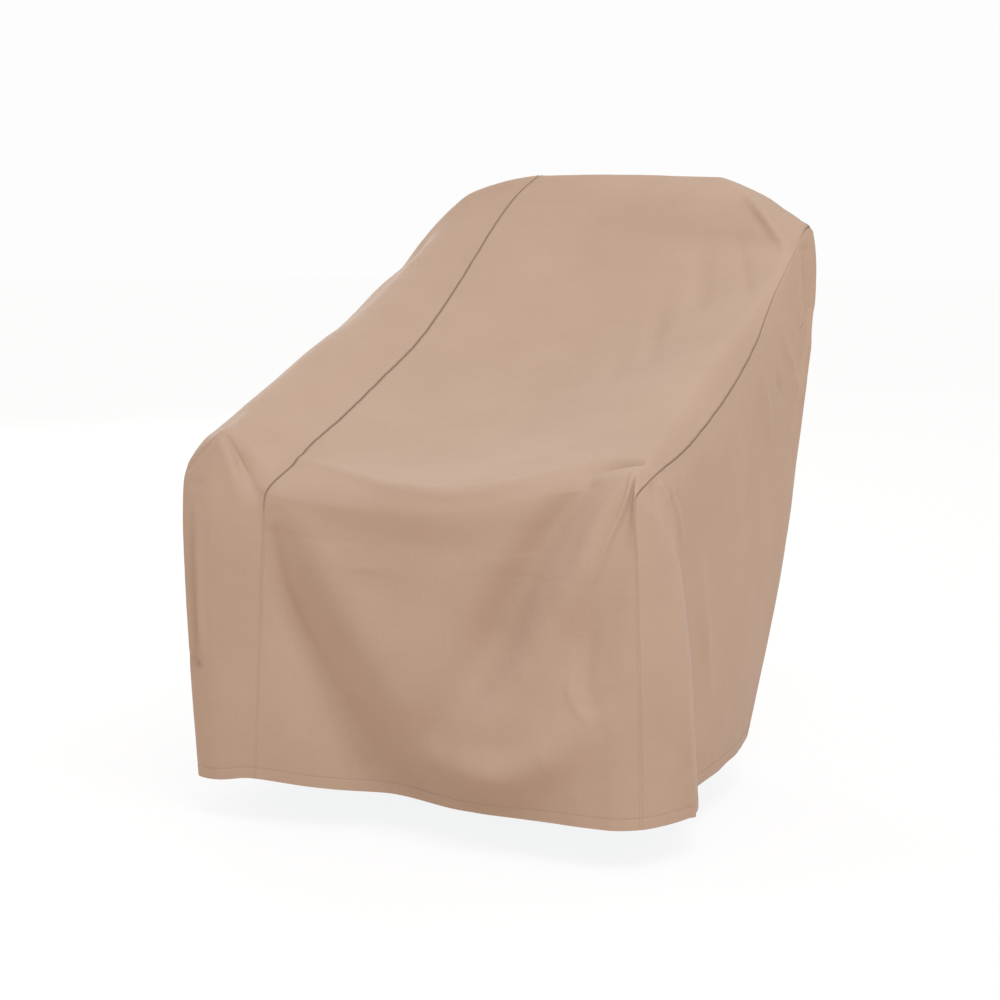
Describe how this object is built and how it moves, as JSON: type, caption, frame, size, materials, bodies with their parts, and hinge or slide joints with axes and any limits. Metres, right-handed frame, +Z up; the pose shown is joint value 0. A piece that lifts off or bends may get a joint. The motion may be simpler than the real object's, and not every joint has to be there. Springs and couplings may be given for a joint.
{
  "type": "patio chair cover",
  "caption": "Fitted cloth cover draped over a patio chair, with a sagging front, a sloping lap, gathered arm corners and an open hem.",
  "frame": {"origin": "on the underside of the cloth, at the middle of the ridge, where the cover rests on the top of the chair's back", "axes": "+Z up, +Y towards the back of the chair, +X to the right as seen from in front of the chair"},
  "size_m": [0.8731, 0.9415, 0.9576],
  "materials": {
    "cloth": "matte coated plain weave"
  },
  "bodies": {
    "root": {"centre_panel": "cloth", "left_side_panel": "cloth", "right_side_panel": "cloth"}
  },
  "joints": []
}
